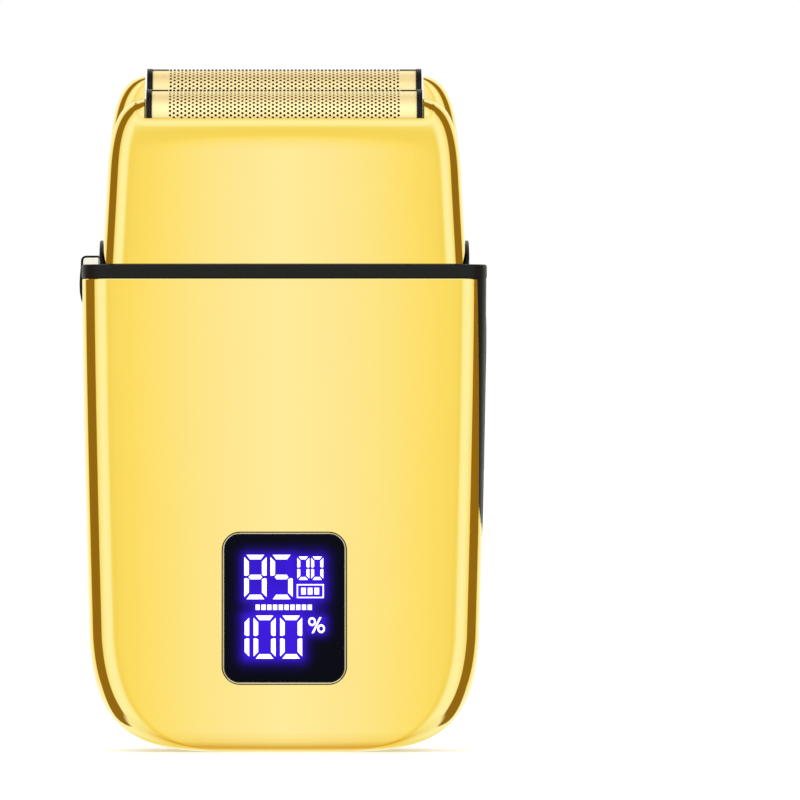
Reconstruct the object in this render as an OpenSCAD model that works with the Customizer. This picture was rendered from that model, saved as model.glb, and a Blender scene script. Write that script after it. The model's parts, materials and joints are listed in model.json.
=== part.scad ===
// Twin-foil cordless shaver: a gold-plated handle with a display, and a lift-off foil head.
// +Z is up, the front faces -Y, and the origin is the middle of the foot it stands on.

/* [Handle] */
// Width of the handle under the collar
body_w = 70.1; // [66:0.5:74]
// Depth of the handle
body_d = 24; // [23:0.5:26]
// Height of the two gold handle shells
body_h = 82.2; // [82.2:0.1:82.4]
// Wall thickness of the handle shells
wall = 1.6; // [1.4:0.1:1.8]
// Height of the black collar band
collar_h = 2.4; // [2:0.1:3]

/* [Head] */
// Width of the foil head at its base
head_w = 63; // [61:0.5:64]
// Depth of the foil head at its base
head_d = 22.6; // [22:0.2:23]
// Height of the front ears of the head above the floor
front_ear_z = 113.6; // [112:0.2:115]
// Height of the rear ears of the head above the floor
rear_ear_z = 117.7; // [116:0.2:119]
// Outer radius of each arched foil
foil_r = 4.3; // [4:0.05:4.4]
// Distance between the two foils
foil_pitch = 9.5; // [9.2:0.1:9.8]
// Top of the front foil
front_foil_z = 114.8; // [114:0.1:115]
// Top of the rear foil
rear_foil_z = 118.7; // [118:0.1:119]
// Length of each foil between its end clips
foil_len = 45.9; // [44:0.1:46]

/* [Display] */
// Width of the display rim
display_w = 21.7; // [18:0.1:23]
// Height of the display rim
display_h = 26.5; // [22:0.1:28]
// Height of the middle of the display above the foot
display_z = 25.1; // [23:0.1:28]

/* [Drive] */
// Diameter of the motor can
motor_d = 19.6; // [18:0.1:20]
// Throw of the eccentric pin
throw = 0.9; // [0.7:0.1:1]
// Diameter of the battery cell
cell_d = 18.3; // [18:0.1:18.4]
// Length of the battery cell
cell_len = 65; // [60:0.5:65]

/* [Controls] */
// Radius of each side button
button_r = 3.2; // [2.6:0.1:3.6]
// Height of the power button, the middle one of three
power_z = 56.5; // [54:0.5:58]
// Distance from one side button to the next
button_pitch = 13; // [11:0.5:13.5]

/* [Charging socket] */
// Diameter of each charging pin
pin_d = 1.5; // [1.2:0.1:1.6]
// Distance between the two charging pins
pin_pitch = 6; // [5.8:0.1:6.2]

/* [Hidden] */
$fn = 48;

gold = [0.98, 0.80, 0.32];
black = [0.13, 0.13, 0.14];
steel = [0.75, 0.76, 0.78];

eps = 0.01;
body_a = body_w / 2;
body_b = body_d / 2;
bend_z = 20;          // height where the rounded bottom meets the straight sides
body_corner = 4.6;    // corner radius of the handle's section
head_corner = 3.8;    // corner radius of the head's section
side_draw = 1.25;      // how far each flank draws in from the collar down to the bend
crown = 0.06;         // how much the broad faces bulge, as a share of the half depth
collar_top = body_h + collar_h;
arc_steps = 7;        // facets on each section corner
face_steps = 8;       // facets across each broad face
base_steps = 11;      // rings round the bottom of the handle
shoulder_steps = 10;  // rings round the shoulders of the head

// Side panel on the right: half width at the collar and above its rounded lower end
panel_top_half = 10.3;
panel_low_half = 9.3;
panel_low_z = 44;
panel_end = 8.5;
panel_skin = 0.7;

// Release latch: its slot in the left shoulder, and the pin that it rocks on
latch_slot = 9.6;
latch_w = 9;
pivot_x = -34.3;
pivot_z = 83;
pin_r = 0.5;

// Head cavity and lips
ear_in = 24.25;       // half width of the slot between the ears
lip_front_z = 109.9;
lip_rear_z = 113.9;
head_z = collar_top + 0.1;
head_wall = 1.4;
slot_y = 9.5;
slot_deep = 6.9;      // how far the slot runs down behind each lip, for the carriers to sink
strip_half = 0.8;     // half width of the black strip between the two head shells

foil_t = 0.2;
foil_leg = 5;
front_y = -foil_pitch / 2;
rear_y = foil_pitch / 2;
clip_w = 1;
float_gap = 0.1;
post_r = 1.5;
shoulder_r = 2.3;
holder_bore_r = 1.58;
cutter_half = 20.3;
slot_pitch = 1.65;
cutter_slots = 24;
slot_w = 0.9;

deck_z = 75.9;
deck_t = 1.5;
cam_z = deck_z + deck_t + 0.3;
bridge_z = 79.9;
bridge_t = 1.9;
motor_len = 28;
motor_x = 0;
deck_screw_x = 26;
cell_x = -21;
cell_z = 10.4;
screw_x = 22;
screw_z = 6.8;
socket_w = 10.5;
socket_h = 6.5;
socket_depth = 6;
pin_tail = 1.2;        // side of the square tail that holds each charging pin

// ---- shared shapes -------------------------------------------------------------------------

function bez(p, t) = pow(1 - t, 3) * p[0] + 3 * t * pow(1 - t, 2) * p[1]
    + 3 * t * t * (1 - t) * p[2] + pow(t, 3) * p[3];

// Rounded rectangle, half sizes a and b and corner radius r, with slightly crowned broad faces
function section(a, b, r) = [
    for (q = [0 : 3])
        let (
            sx = q == 0 || q == 3 ? 1 : -1,
            sy = q < 2 ? 1 : -1,
            arc = [for (i = [0 : arc_steps]) let (t = 90 * (q + i / arc_steps))
                [sx * (a - r) + r * cos(t), sy * (b - r) + r * sin(t)]],
            run = q % 2 == 1 ? [] : [for (i = [1 : face_steps - 1])
                [sx * (a - r) * (1 - 2 * i / face_steps), sy * b]]
        )
        for (p = concat(arc, run)) [p.x, p.y * (1 - crown * pow(p.x / a, 2))]
];

// Closed solid through a stack of [half width, half depth, corner radius, height] levels
module loft(levels) {
    n = len(section(1, 1, 0.5));
    rings = [for (l = levels) for (p = section(l[0], l[1], l[2])) [p.x, p.y, l[3]]];
    sides = [for (k = [0 : len(levels) - 2]) for (i = [0 : n - 1])
        let (j = (i + 1) % n)
        each [[k * n + i, (k + 1) * n + i, (k + 1) * n + j], [k * n + i, (k + 1) * n + j, k * n + j]]];
    bottom = [[for (i = [0 : n - 1]) i]];
    top = [[for (i = [0 : n - 1]) len(levels) * n - 1 - i]];
    polyhedron(points = rings, faces = concat(sides, bottom, top));
}

// Half width of the handle from the bend up, widening gently towards the collar
function side_a(z) = body_a - side_draw * pow(max(0, 1 - (z - bend_z) / (body_h - bend_z)), 1.4);

function body_levels(inset, lift, top) = concat(
    [for (i = [0 : base_steps]) let (t = i / base_steps)
        [bez([14, 29.5, side_a(bend_z) - 0.6, side_a(bend_z)], t) - inset,
         bez([6.5, 9.6, body_b - 0.4, body_b], t) - inset,
         bez([6, 5.6, 5, body_corner], t) - inset,
         lift + bez([0, 0.3, 8, bend_z], t) * (bend_z - lift) / bend_z]],
    [for (z = [30, 42, 56, 70, top])
        [side_a(z) - inset, body_b - inset, body_corner - inset, z]]
);

// Handle grown inwards by inset, standing on lift
module body_solid(inset = 0, lift = 0, top = body_h) {
    loft(body_levels(inset, lift, top));
}

// Half width of the head's straight flank
function head_a(z) = head_w / 2 - (z - 84.7) * 0.055;

function head_levels(ear, inset, low) = let (z0 = ear - 12.7, a0 = head_a(z0), b = head_d / 2) concat(
    [for (z = [low, 94]) [head_a(z) - inset, b - (z - 84.7) * 0.012 - inset, head_corner - inset, z]],
    [for (i = [0 : shoulder_steps]) let (t = i / shoulder_steps)
        [bez([a0, a0 - 0.4, a0 - 1.7, 23.9], t) - inset,
         bez([b - 0.2, b - 0.4, b - 0.6, b - 3.4], t) - inset,
         head_corner - inset,
         bez([z0, z0 + 7, ear - 0.1, ear], t)]]
);

module rounded_plate(w, h, r, t) {
    linear_extrude(t)
        hull()
            for (x = [-1, 1], y = [-1, 1])
                translate([x * (w / 2 - r), y * (h / 2 - r)])
                    circle(r);
}

// A flat shape drawn in X and Z, centred on z, from y to y + t
module facing(y, t, z) {
    translate([0, y + t, z])
        rotate([90, 0, 0])
            children();
}

// A shape extruded along X from its outline in Y and Z
module along_x(x0, x1) {
    translate([x0, 0, 0])
        rotate([90, 0, 90])
            linear_extrude(x1 - x0)
                children();
}

// A shape extruded along Y from its outline in X and Z
module along_y(y0, y1) {
    translate([0, y1, 0])
        rotate([90, 0, 0])
            linear_extrude(y1 - y0)
                children();
}

module rod_x(r, x0, x1, y, z) {
    translate([x0, y, z])
        rotate([0, 90, 0])
            cylinder(h = x1 - x0, r = r);
}

module rod_y(r, y0, y1, x, z) {
    translate([x, y1, z])
        rotate([90, 0, 0])
            cylinder(h = y1 - y0, r = r);
}

module rod_z(r, z0, z1, x = 0, y = 0) {
    translate([x, y, z0])
        cylinder(h = z1 - z0, r = r);
}

module side_panel_outline() {
    polygon([[-panel_top_half, body_h + 1],
        for (i = [0 : 12]) let (t = 180 + 15 * i)
            [panel_low_half * cos(t), panel_low_z + panel_end * sin(t)],
        [panel_top_half, body_h + 1]]);
}

module left_trim_outline() {
    polygon([[-6, body_h + 1],
        for (i = [0 : 10]) let (t = 180 + 18 * i) [4 * cos(t), panel_low_z - 4 + 4 * sin(t)],
        [6, body_h + 1]]);
}

module capsule_outline(w, z0, z1) {
    hull()
        for (z = [z0 + w / 2, z1 - w / 2])
            translate([0, z])
                circle(w / 2);
}

button_zs = [power_z - button_pitch, power_z, power_z + button_pitch];
capsule_z0 = power_z - button_pitch - 6.6;
capsule_z1 = power_z + button_pitch + 6.6;

// ---- handle --------------------------------------------------------------------------------

// Recesses in the outside of the handle for the panels and the latch
module side_recesses() {
    difference() {
        union() {
            along_x(body_a - 6, body_a + 2) side_panel_outline();
            along_x(-body_a - 2, -body_a + 6) left_trim_outline();
        }
        body_solid(panel_skin, panel_skin, body_h + 2);
    }
    for (z = button_zs)
        rod_x(button_r + 0.25, body_a - 6, body_a + 2, 0, z);
    translate([-body_a - 2, -latch_slot / 2, 77.6])
        cube([5, latch_slot, 20]);
}

module handle_shell(front) {
    difference() {
        intersection() {
            body_solid();
            translate([-50, front ? -50 : 0, -1])
                cube([100, 50, 200]);
        }
        body_solid(wall, wall, body_h + 1);
        side_recesses();
        rounded_recess_for_socket();
    }
}

module rounded_recess_for_socket() {
    translate([0, 0, -1])
        rounded_plate(socket_w + 2.2, socket_h + 2.2, (socket_h + 2.2) / 2 - eps, 8);
}

module front_shell() {
    color(gold) {
        difference() {
            handle_shell(true);
            facing(-20, 15, display_z)
                rounded_plate(display_w + 0.1, display_h + 0.1, 3.15, 15);
        }
        difference() {
            intersection() {
                body_solid(0.5, 0.5);
                for (x = [-screw_x, screw_x])
                    rod_y(2.6, -body_b, 0, x, screw_z);
            }
            for (x = [-screw_x, screw_x])
                rod_y(1, -6.5, 1, x, screw_z);
        }
    }
}

module rear_shell() {
    color(gold) {
        difference() {
            union() {
                handle_shell(false);
                intersection() {
                    body_solid(0.5, 0.5);
                    for (x = [-screw_x, screw_x])
                        rod_y(2.9, 0, body_b, x, screw_z);
                }
            }
            for (x = [-screw_x, screw_x]) {
                rod_y(1.15, -1, 12, x, screw_z);
                rod_y(2.05, 7, 14, x, screw_z);
            }
        }
    }
}

module shell_screws() {
    color(steel)
        for (x = [-screw_x, screw_x])
            difference() {
                union() {
                    rod_y(1, -5.5, 7.1, x, screw_z);
                    rod_y(1.9, 7.02, 8.6, x, screw_z);
                }
                for (a = [0, 90])
                    translate([x, 8.6, screw_z])
                        rotate([0, a, 0])
                            cube([2.2, 1.4, 0.5], center = true);
            }
}

// Black band between handle and head, with a peak on each side and a plate across the top
module collar() {
    color(black)
        difference() {
            union() {
                translate([0, 0, body_h])
                    linear_extrude(collar_h)
                        polygon(section(body_a + 0.1, body_b + 0.1, body_corner));
                for (s = [-1, 1])
                    along_x(s > 0 ? 31.62 : -32.3, s > 0 ? 32.3 : -31.62)
                        polygon([[-9.6, collar_top - 1], for (i = [0 : 6]) let (t = 150 - 20 * i)
                            [2.4 * cos(t), collar_top + 2.1 + 2.4 * sin(t)], [9.6, collar_top - 1]]);
            }
            translate([0, 0, body_h + 1.4])
                linear_extrude(collar_h)
                    polygon(section(31, 10.9, 4.6));
            translate([0, 0, body_h - 1])
                rounded_plate(20, 17, 3, 5);
            translate([-body_a - 2, -latch_slot / 2, 80])
                cube([body_a + 2 - 33.1, latch_slot, 10]);
            translate([-body_a - 2, -latch_slot / 2, body_h + 1.7])
                cube([body_a + 2 - 32.35, latch_slot, 10]);
            rod_y(pin_r, -6.4, 6.4, pivot_x, pivot_z);
            for (x = [-deck_screw_x, deck_screw_x])
                rod_z(1.15, body_h - 1, body_h + 3, x);
        }
}

module right_side_panel() {
    color(black)
        difference() {
            intersection() {
                body_solid(0, 0, body_h);
                along_x(body_a - 6, body_a + 2) side_panel_outline();
            }
            body_solid(panel_skin, panel_skin, body_h + 2);
            along_x(body_a - 6, body_a + 2) capsule_outline(12, capsule_z0, capsule_z1);
        }
}

module left_side_trim() {
    color(black)
        difference() {
            intersection() {
                body_solid(0, 0, body_h);
                along_x(-body_a - 2, -body_a + 6) left_trim_outline();
            }
            body_solid(panel_skin, panel_skin, body_h + 2);
            translate([-body_a - 2, -latch_slot / 2, 77.6])
                cube([5, latch_slot, 20]);
        }
}

module control_panel() {
    color([0.2, 0.2, 0.21])
        difference() {
            intersection() {
                body_solid(-0.15, 0, body_h);
                along_x(body_a - 6, body_a + 2) capsule_outline(11.9, capsule_z0 + 0.05, capsule_z1 - 0.05);
            }
            body_solid(panel_skin - 0.02, panel_skin, body_h + 2);
            for (z = button_zs)
                rod_x(button_r + 0.15, body_a - 6, body_a + 3, 0, z);
        }
}

// Round key with a retaining flange behind the panel and a shallow chamfered face
module key(z) {
    face_x = side_a(z) + 0.1;
    translate([0, 0, z])
        rotate([0, 90, 0]) {
            translate([0, 0, 32])
                cylinder(h = 0.6, r = button_r + 0.7);
            translate([0, 0, 32])
                cylinder(h = face_x - 32 - 0.4, r = button_r);
            translate([0, 0, face_x - 0.4])
                cylinder(h = 0.4, r1 = button_r, r2 = button_r - 0.5);
        }
}

module power_button() {
    color([0.16, 0.16, 0.17])
        key(power_z);
}

module speed_up_button() {
    color([0.16, 0.16, 0.17])
        key(power_z + button_pitch);
}

module speed_down_button() {
    color([0.16, 0.16, 0.17])
        key(power_z - button_pitch);
}

module button_board() {
    color([0.1, 0.35, 0.2])
        translate([28.9, -5.5, capsule_z0])
            cube([1.2, 11, capsule_z1 - capsule_z0 - 0.4]);
}

module button_switches() {
    color(steel)
        for (z = button_zs) {
            translate([30.1, -2, z - 2])
                cube([0.7, 4, 4]);
            rod_x(1, 30.8, 31.25, 0, z);
        }
}

// ---- release latch on the left shoulder ------------------------------------------------------

module release_latch() {
    color(black)
        difference() {
            along_y(-latch_w / 2, latch_w / 2)
                polygon([[-34.05, 78.4], [-34.75, 78.1], [-35.15, 78.3], [-35.5, 80.2], [-35.6, 82.2],
                    [-35.5, 84.2], [-35.3, 85.2],
                    for (i = [0 : 5]) let (t = 180 - 18 * i) [-34.5 + 0.8 * cos(t), 85.4 + 0.8 * sin(t)],
                    [-32.45, 86.2], [-32.45, 85.85], [-34.2, 85.85], [-34.2, 84.9], [-33.6, 84.2],
                    [-33.6, 82.2]]);
            rod_y(pin_r + 0.06, -6, 6, pivot_x, pivot_z);
        }
}

module release_latch_face() {
    color([0.9, 0.91, 0.92])
        translate([-34.18, -latch_w / 2 + 0.2, 84.92])
            cube([1.7, latch_w - 0.4, 0.93]);
}

module latch_pin() {
    color(steel)
        rod_y(pin_r, -6.4, 6.4, pivot_x, pivot_z);
}

// ---- display ---------------------------------------------------------------------------------

module display_bezel() {
    color([0.9, 0.85, 0.7])
        difference() {
            facing(-body_b - 0.08, 2.2, display_z)
                rounded_plate(display_w, display_h, 3.1, 2.2);
            facing(-body_b - 2, 3.2, display_z)
                rounded_plate(display_w - 0.7, display_h - 0.7, 2.75, 3.2);
            facing(-body_b - 2, 5, display_z)
                rounded_plate(display_w - 2.6, display_h - 2.6, 1.8, 5);
        }
}

module display_lens() {
    color([0.05, 0.05, 0.06])
        facing(-body_b, 1.18, display_z)
            rounded_plate(display_w - 0.8, display_h - 0.8, 2.7, 1.18);
}

module display_module() {
    color([0.1, 0.35, 0.2])
        facing(-body_b + 2.12, 2.4, display_z)
            rounded_plate(display_w - 2, display_h - 1.8, 0.8, 2.4);
}

// ---- inside the handle -----------------------------------------------------------------------

// Moulded deck that carries the motor and is screwed up to the collar
module chassis() {
    color([0.25, 0.25, 0.26])
        difference() {
            union() {
                translate([0, 0, deck_z])
                    linear_extrude(deck_t)
                        polygon(section(31.6, 10, 4));
                for (x = [-deck_screw_x, deck_screw_x])
                    rod_z(2.4, deck_z, body_h - 0.02, x);
                for (y = [-1, 1])
                    translate([-14, y * 8.2 - 0.8, deck_z + deck_t])
                        cube([28, 1.6, 2.2]);
            }
            rod_z(3.1, deck_z - 1, deck_z + 4);
            for (x = [-6, 6])
                rod_z(0.9, deck_z - 1, deck_z + 4, x);
            for (x = [-deck_screw_x, deck_screw_x])
                rod_z(0.85, deck_z + 0.6, body_h + 1, x);
            translate([-36, -5, 77.4])
                cube([5.2, 10, 6]);
        }
}

module chassis_screws() {
    color(steel)
        for (x = [-deck_screw_x, deck_screw_x])
            difference() {
                union() {
                    rod_z(0.85, deck_z + 1.2, body_h + 1.4, x);
                    rod_z(1.7, body_h + 1.4, body_h + 2.3, x);
                }
                for (a = [0, 90])
                    translate([x, 0, body_h + 2.3])
                        rotate([0, 0, a])
                            cube([2, 0.45, 0.9], center = true);
            }
}

module motor_can() {
    color(steel)
        difference() {
            rod_z(motor_d / 2, deck_z - motor_len, deck_z, motor_x);
            rod_z(motor_d / 2 - 1, deck_z - motor_len - 1, deck_z - 1, motor_x);
            rod_z(1.6, deck_z - 3, deck_z + 1, motor_x);
            for (x = [-6, 6])
                rod_z(0.8, deck_z - 3, deck_z + 1, x);
        }
}

module motor_end_bell() {
    color([0.9, 0.9, 0.88])
        difference() {
            union() {
                rod_z(motor_d / 2 - 1, deck_z - motor_len, deck_z - motor_len + 3, motor_x);
                rod_z(3, deck_z - motor_len - 1.2, deck_z - motor_len, motor_x);
            }
            rod_z(1.05, deck_z - motor_len - 0.2, deck_z - motor_len + 4, motor_x);
        }
}

module motor_screws() {
    color(steel)
        for (x = [-6, 6]) {
            rod_z(0.8, deck_z - 2.5, deck_z + deck_t, x);
            rod_z(1.3, deck_z + deck_t, deck_z + deck_t + 0.25, x);
        }
}

module motor_shaft() {
    color(steel) {
        rod_z(1, deck_z - motor_len, cam_z + 1.8, motor_x);
        rod_z(7.4, deck_z - motor_len + 5, deck_z - 5, motor_x);
    }
}

module eccentric_cam() {
    color("white")
        difference() {
            union() {
                rod_z(2.9, cam_z, cam_z + 1.8, motor_x);
                rod_z(0.75, cam_z + 1.8, bridge_z + 1.4, motor_x + throw);
            }
            rod_z(1, cam_z - 1, cam_z + 1.8, motor_x);
        }
}

module battery_cell() {
    color([0.15, 0.4, 0.75]) {
        rod_z(cell_d / 2, cell_z, cell_z + cell_len - 0.6, cell_x);
        rod_z(3, cell_z + cell_len - 0.6, cell_z + cell_len - 0.2, cell_x);
    }
}

module battery_tabs() {
    color(steel) {
        translate([cell_x - 2.5, -2, cell_z + cell_len - 0.2])
            cube([12.5, 4, 0.15]);
        translate([cell_x - 2.5, -2, cell_z - 0.2])
            cube([12.5, 4, 0.2]);
    }
}

module main_board() {
    color([0.1, 0.35, 0.2]) {
        translate([-9.6, 2, 12])
            cube([37, 1.6, 30]);
        for (x = [14, 21])
            translate([x, 0.8, 18])
                cube([5, 1.2, 5]);
        translate([-6, 0.4, 30])
            cube([8, 1.6, 8]);
    }
}

module charge_socket() {
    color(black)
        difference() {
            translate([0, 0, 0.02])
                rounded_plate(socket_w + 2, socket_h + 2, socket_h / 2 + 0.98, socket_depth + 1.3);
            translate([0, 0, -1])
                rounded_plate(socket_w, socket_h, socket_h / 2 - eps, socket_depth + 1);
            for (s = [-1, 1])
                translate([s * pin_pitch / 2 - pin_tail / 2, -pin_tail / 2, socket_depth - 1])
                    cube([pin_tail, pin_tail, 4]);
        }
}

module charge_pins() {
    color(steel)
        for (s = [-1, 1])
            union() {
                rod_z(pin_d / 2, 1.2, socket_depth, s * pin_pitch / 2);
                translate([s * pin_pitch / 2 - pin_tail / 2, -pin_tail / 2, socket_depth])
                    cube([pin_tail, pin_tail, 3]);
            }
}

// ---- drive -----------------------------------------------------------------------------------

module drive_seal() {
    color([0.2, 0.2, 0.2])
        difference() {
            translate([0, 0, body_h + 0.15])
                rounded_plate(19.9, 16.9, 2.95, 1.1);
            for (y = [front_y, rear_y])
                translate([0, y, body_h - 1])
                    rounded_plate(2 * shoulder_r + 2.6, 2 * shoulder_r + 0.5, shoulder_r + 0.24, 5);
        }
}

// Sliding bridge: the eccentric pin runs in its pocket and its two posts carry the cutters
module drive_bridge() {
    color("white")
        difference() {
            union() {
                translate([-9, -6.6, bridge_z])
                    cube([18, 13.2, bridge_t]);
                rod_z(post_r, bridge_z, front_foil_z - foil_r - 3.2, 0, front_y);
                rod_z(post_r, bridge_z, rear_foil_z - foil_r - 3.2, 0, rear_y);
                rod_z(shoulder_r, bridge_z, front_foil_z - foil_r - 14, 0, front_y);
                rod_z(shoulder_r, bridge_z, rear_foil_z - foil_r - 14, 0, rear_y);
            }
            translate([-3, -2, bridge_z - 1])
                cube([6, 4, bridge_t + 4]);
        }
}

// ---- foil head -------------------------------------------------------------------------------

module head_shell(front) {
    ear = front ? front_ear_z : rear_ear_z;
    lip = front ? lip_front_z : lip_rear_z;
    difference() {
        intersection() {
            loft(head_levels(ear, 0, head_z));
            translate([-50, front ? -50 - strip_half : strip_half, 0])
                cube([100, 50, 200]);
        }
        intersection() {
            loft(head_levels(ear, head_wall, head_z - 1));
            translate([-50, -50, 0])
                cube([100, 100, lip - 2]);
        }
        translate([-ear_in, -slot_y, lip - slot_deep])
            cube([2 * ear_in, 2 * slot_y, 50]);
        translate([-ear_in, -50, lip])
            cube([2 * ear_in, 100, 50]);
    }
}

module head_front_shell() {
    color(gold)
        head_shell(true);
}

module head_rear_shell() {
    color(gold)
        head_shell(false);
}

// Black inner frame: a skirt that drops into the collar, and the strip between the gold shells
module head_frame() {
    color(black) {
        difference() {
            translate([0, 0, body_h + 1.7])
                linear_extrude(6)
                    polygon(section(29.9, 9.8, 3.6));
            translate([0, 0, body_h])
                linear_extrude(12)
                    polygon(section(28.6, 9.15, 3));
        }
        difference() {
            intersection() {
                loft(head_levels(front_ear_z - 0.3, 0.05, head_z));
                translate([-50, -strip_half, 0])
                    cube([100, 2 * strip_half, 200]);
            }
            translate([-28.6, -2, 80])
                cube([57.2, 4, 25]);
            translate([-ear_in, -2, 80])
                cube([2 * ear_in, 4, 50]);
        }
    }
}

// Arch outline in Y and Z round a centre: a half circle on straight legs
module arch(r, cy, cz, leg) {
    translate([cy, cz]) {
        intersection() {
            circle(r);
            translate([-r, 0])
                square([2 * r, r]);
        }
        translate([-r, -leg])
            square([2 * r, leg + eps]);
    }
}

module foil(cy, top) {
    cz = top - foil_r;
    along_x(-foil_len / 2, foil_len / 2)
        difference() {
            arch(foil_r, cy, cz, foil_leg);
            arch(foil_r - foil_t, cy, cz, foil_leg + 1);
        }
}

module carrier(cy, top) {
    cz = top - foil_r;
    for (s = [-1, 1])
        along_x(s > 0 ? foil_len / 2 : -foil_len / 2 - clip_w, s > 0 ? foil_len / 2 + clip_w : -foil_len / 2)
            arch(foil_r + 0.3, cy, cz, foil_leg + 1);
    for (s = [-1, 1])
        translate([-foil_len / 2, cy + s * (foil_r + 0.15) - 0.15, cz - foil_leg - 1])
            cube([foil_len, 0.3, 2.6]);
}

module cutter(cy, top) {
    cz = top - foil_r;
    r = foil_r - foil_t - float_gap;
    difference() {
        along_x(-cutter_half, cutter_half)
            difference() {
                arch(r, cy, cz, 0.6);
                arch(r - 0.8, cy, cz, 2);
            }
        for (i = [0 : cutter_slots - 1])
            translate([(i - (cutter_slots - 1) / 2) * slot_pitch - slot_w / 2, cy - 10, cz + 0.8])
                cube([slot_w, 20, 10]);
    }
}

module cutter_holder(cy, top) {
    cz = top - foil_r;
    r = foil_r - foil_t - float_gap - 0.82;
    difference() {
        union() {
            along_x(-cutter_half + 0.3, cutter_half - 0.3)
                translate([cy - r, cz - 3])
                    square([2 * r, 3.2]);
            translate([-cutter_half + 4, cy - 2.2, cz - 6])
                cube([2 * cutter_half - 8, 4.4, 3.1]);
        }
        rod_z(holder_bore_r, cz - 7, cz - 1.2, 0, cy);
        for (x = [-12, 12])
            translate([x - 5, cy - 4, cz - 7])
                cube([10, 8, 4]);
    }
}

// Envelope of the coil spring round a drive post
module cutter_spring(cy, top) {
    cz = top - foil_r;
    difference() {
        rod_z(2.1, cz - 13.95, cz - 6.05, 0, cy);
        rod_z(1.7, cz - 15, cz - 5, 0, cy);
    }
}

module front_foil() {
    color(gold)
        foil(front_y, front_foil_z);
}

module rear_foil() {
    color(gold)
        foil(rear_y, rear_foil_z);
}

module front_foil_carrier() {
    color(black)
        carrier(front_y, front_foil_z);
}

module rear_foil_carrier() {
    color(black)
        carrier(rear_y, rear_foil_z);
}

module front_cutter() {
    color(steel)
        cutter(front_y, front_foil_z);
}

module rear_cutter() {
    color(steel)
        cutter(rear_y, rear_foil_z);
}

module front_cutter_holder() {
    color("white")
        cutter_holder(front_y, front_foil_z);
}

module rear_cutter_holder() {
    color("white")
        cutter_holder(rear_y, rear_foil_z);
}

module front_cutter_spring() {
    color(steel)
        cutter_spring(front_y, front_foil_z);
}

module rear_cutter_spring() {
    color(steel)
        cutter_spring(rear_y, rear_foil_z);
}

front_shell();
rear_shell();
collar();
right_side_panel();
left_side_trim();
control_panel();
power_button();
speed_up_button();
speed_down_button();
button_board();
button_switches();
release_latch();
release_latch_face();
latch_pin();
display_bezel();
display_lens();
display_module();
chassis();
chassis_screws();
motor_can();
motor_end_bell();
motor_screws();
motor_shaft();
eccentric_cam();
battery_cell();
battery_tabs();
main_board();
charge_socket();
charge_pins();
shell_screws();
drive_seal();
drive_bridge();
head_front_shell();
head_rear_shell();
head_frame();
front_foil();
rear_foil();
front_foil_carrier();
rear_foil_carrier();
front_cutter();
rear_cutter();
front_cutter_holder();
rear_cutter_holder();
front_cutter_spring();
rear_cutter_spring();
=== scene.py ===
"""Looks of a twin-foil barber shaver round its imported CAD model. Worked in millimetres, built in metres."""

import json
import math

import bmesh
import bpy
import numpy as np
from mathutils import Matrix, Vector


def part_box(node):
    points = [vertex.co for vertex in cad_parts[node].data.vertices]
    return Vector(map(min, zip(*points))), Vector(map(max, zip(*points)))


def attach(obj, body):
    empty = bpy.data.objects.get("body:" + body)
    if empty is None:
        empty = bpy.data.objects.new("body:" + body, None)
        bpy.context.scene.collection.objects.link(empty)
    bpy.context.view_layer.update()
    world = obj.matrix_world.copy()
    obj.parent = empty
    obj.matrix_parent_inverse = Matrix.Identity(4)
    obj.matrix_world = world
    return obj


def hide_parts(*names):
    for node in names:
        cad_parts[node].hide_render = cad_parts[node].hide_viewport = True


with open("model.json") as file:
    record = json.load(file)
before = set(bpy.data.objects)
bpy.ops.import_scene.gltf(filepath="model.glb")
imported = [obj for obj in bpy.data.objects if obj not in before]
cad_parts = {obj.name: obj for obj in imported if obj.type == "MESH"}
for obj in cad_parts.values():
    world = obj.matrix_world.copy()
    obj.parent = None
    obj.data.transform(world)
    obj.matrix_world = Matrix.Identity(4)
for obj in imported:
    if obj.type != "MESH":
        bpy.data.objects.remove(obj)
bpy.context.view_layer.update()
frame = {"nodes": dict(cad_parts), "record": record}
NODES = frame["nodes"]
MM = 0.001


# ---- sizes, read from the frame ----

def box_mm(node):
    low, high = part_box(node)
    return np.array(low) / MM, np.array(high) / MM


def middle_z(node):
    low, high = box_mm(node)
    return (low[2] + high[2]) / 2


SHELL_LOW, SHELL_HIGH = box_mm("front_shell")
HEAD_LOW, HEAD_HIGH = box_mm("head_front_shell")
REAR_HEAD_HIGH = box_mm("head_rear_shell")[1]
BODY_H = SHELL_HIGH[2]
BODY_A = box_mm("right_side_panel")[1][0]
BODY_B = -SHELL_LOW[1]
HEAD_A = HEAD_HIGH[0]
HEAD_B = -HEAD_LOW[1]
HEAD_Z = HEAD_LOW[2]
FRONT_EAR = HEAD_HIGH[2]
REAR_EAR = REAR_HEAD_HIGH[2]
COLLAR_TOP = HEAD_Z - 0.1

BEND_Z = 20.0
SIDE_DRAW, SIDE_POWER = 1.25, 1.4   # how far and how fast the flanks draw in towards the foot
HEAD_LEAN, FACE_LEAN = 0.055, 0.012
EAR_RISE, EAR_HALF = 12.7, 23.9     # where the ears' shoulders begin below their top, and half width there
BODY_CORNER = 4.6
HEAD_CORNER = 3.8
CROWN = 0.06
WALL = 1.4
SEAM = 0.03
PANEL_Z = 44.0
PANEL_END = 8.5
PANEL_LOW, PANEL_TOP = 9.3, 10.3
TRIM_Z = 40.0
TRIM_LOW, TRIM_TOP = 4.0, 6.0


def bezier(points, t):
    weights = ((1 - t) ** 3, 3 * t * (1 - t) ** 2, 3 * t * t * (1 - t), t ** 3)
    return sum(w * p for w, p in zip(weights, points))


def side_a(z):
    """Half width of the handle above the bend."""
    return BODY_A - SIDE_DRAW * (1 - (z - BEND_Z) / (BODY_H - BEND_Z)) ** SIDE_POWER


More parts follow.
